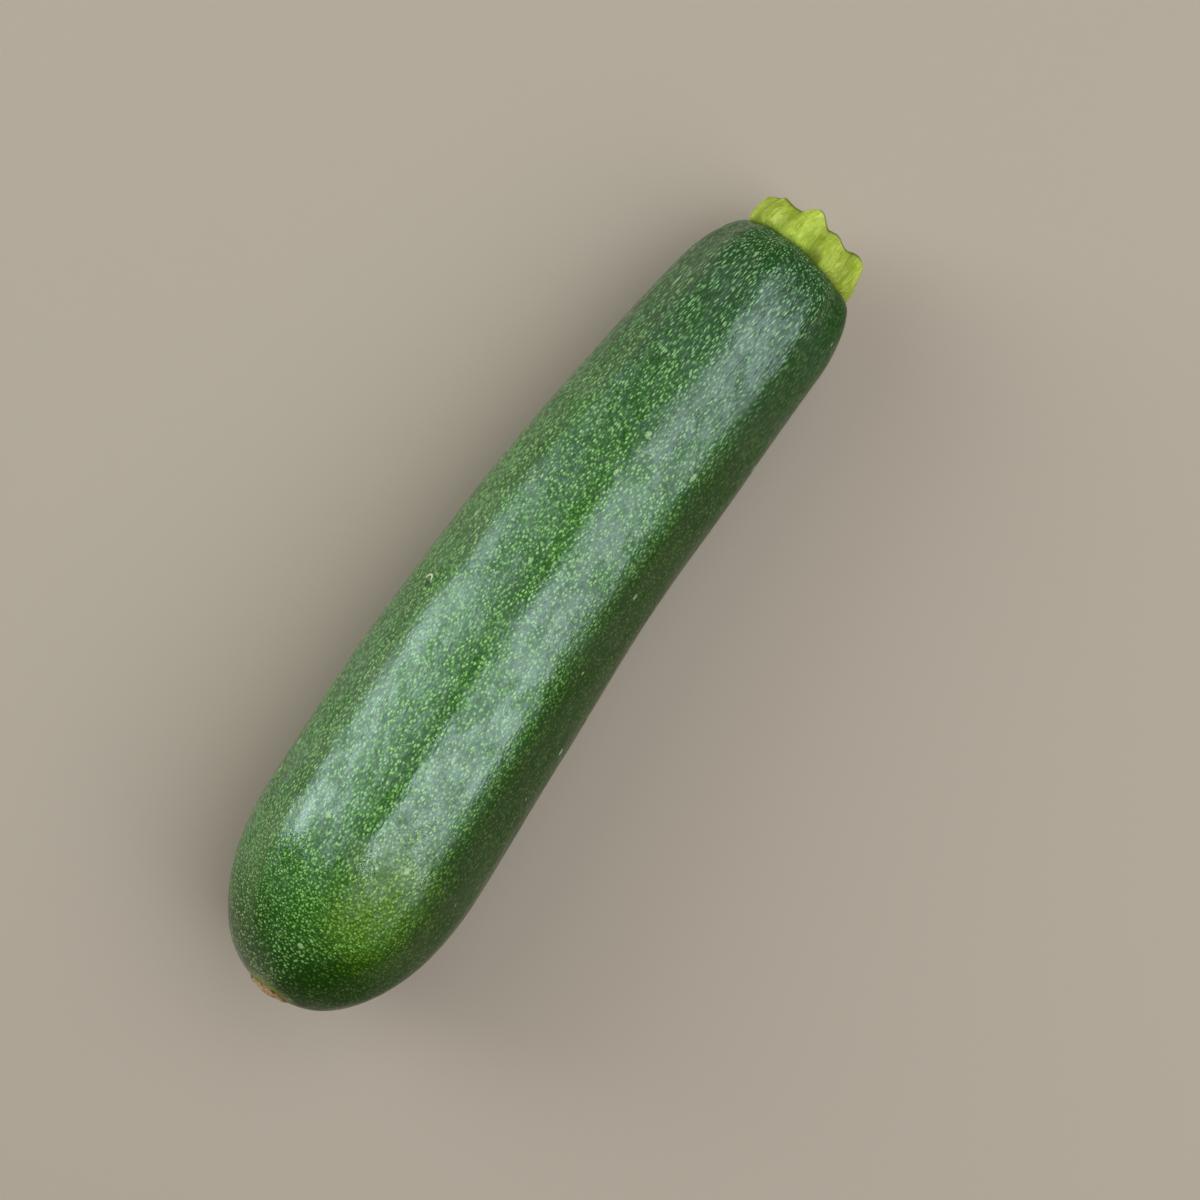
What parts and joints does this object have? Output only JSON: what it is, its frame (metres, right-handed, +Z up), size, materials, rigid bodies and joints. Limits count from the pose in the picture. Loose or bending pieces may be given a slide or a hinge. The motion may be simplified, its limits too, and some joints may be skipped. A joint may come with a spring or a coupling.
{
  "type": "courgette",
  "caption": "Whole dark green courgette, lying on its side, with a speckled ridged skin, a lobed cut stalk stub and a corky blossom scar.",
  "frame": {"origin": "on the surface it lies on, under the middle of the bounding box", "axes": "+Z up, +X along the fruit from the blossom end to the cut stalk, +Y to its left"},
  "size_m": [0.1958, 0.0502, 0.0495],
  "materials": {
    "skin": "waxy satin, flecked with paler green",
    "stalk_rind": "matt, finely ribbed"
  },
  "bodies": {
    "root": {"fruit": "skin", "stalk": "stalk_rind"}
  },
  "joints": []
}
